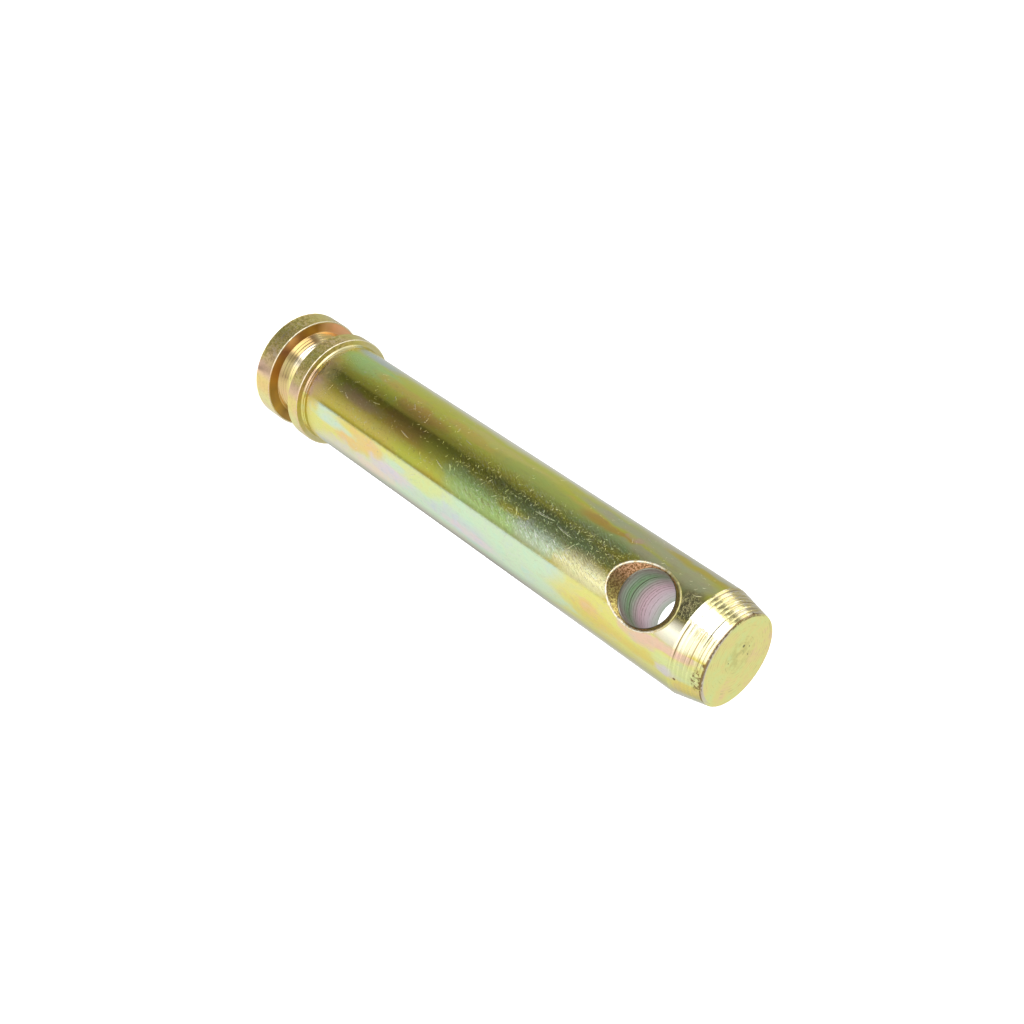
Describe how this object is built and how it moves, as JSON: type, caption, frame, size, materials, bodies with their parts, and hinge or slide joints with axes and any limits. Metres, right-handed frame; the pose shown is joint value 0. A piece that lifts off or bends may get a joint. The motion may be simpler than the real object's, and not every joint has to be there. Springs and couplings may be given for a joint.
{
  "type": "top link pin",
  "caption": "Headed steel clevis pin with a grooved head, a plain shank, a tapered nose and a countersunk cross hole for a linch pin.",
  "frame": {"origin": "centre of the head's back face, on which the pin stands", "axes": "+Z along the pin, from the head to the nose; the linch pin hole runs along Y"},
  "size_m": [0.0284, 0.0284, 0.147],
  "materials": {
    "yellow_zinc_steel": "bright turned steel, zinc plated with a yellow iridescent passivate"
  },
  "bodies": {
    "root": {"top_link_pin": "yellow_zinc_steel"}
  },
  "joints": []
}
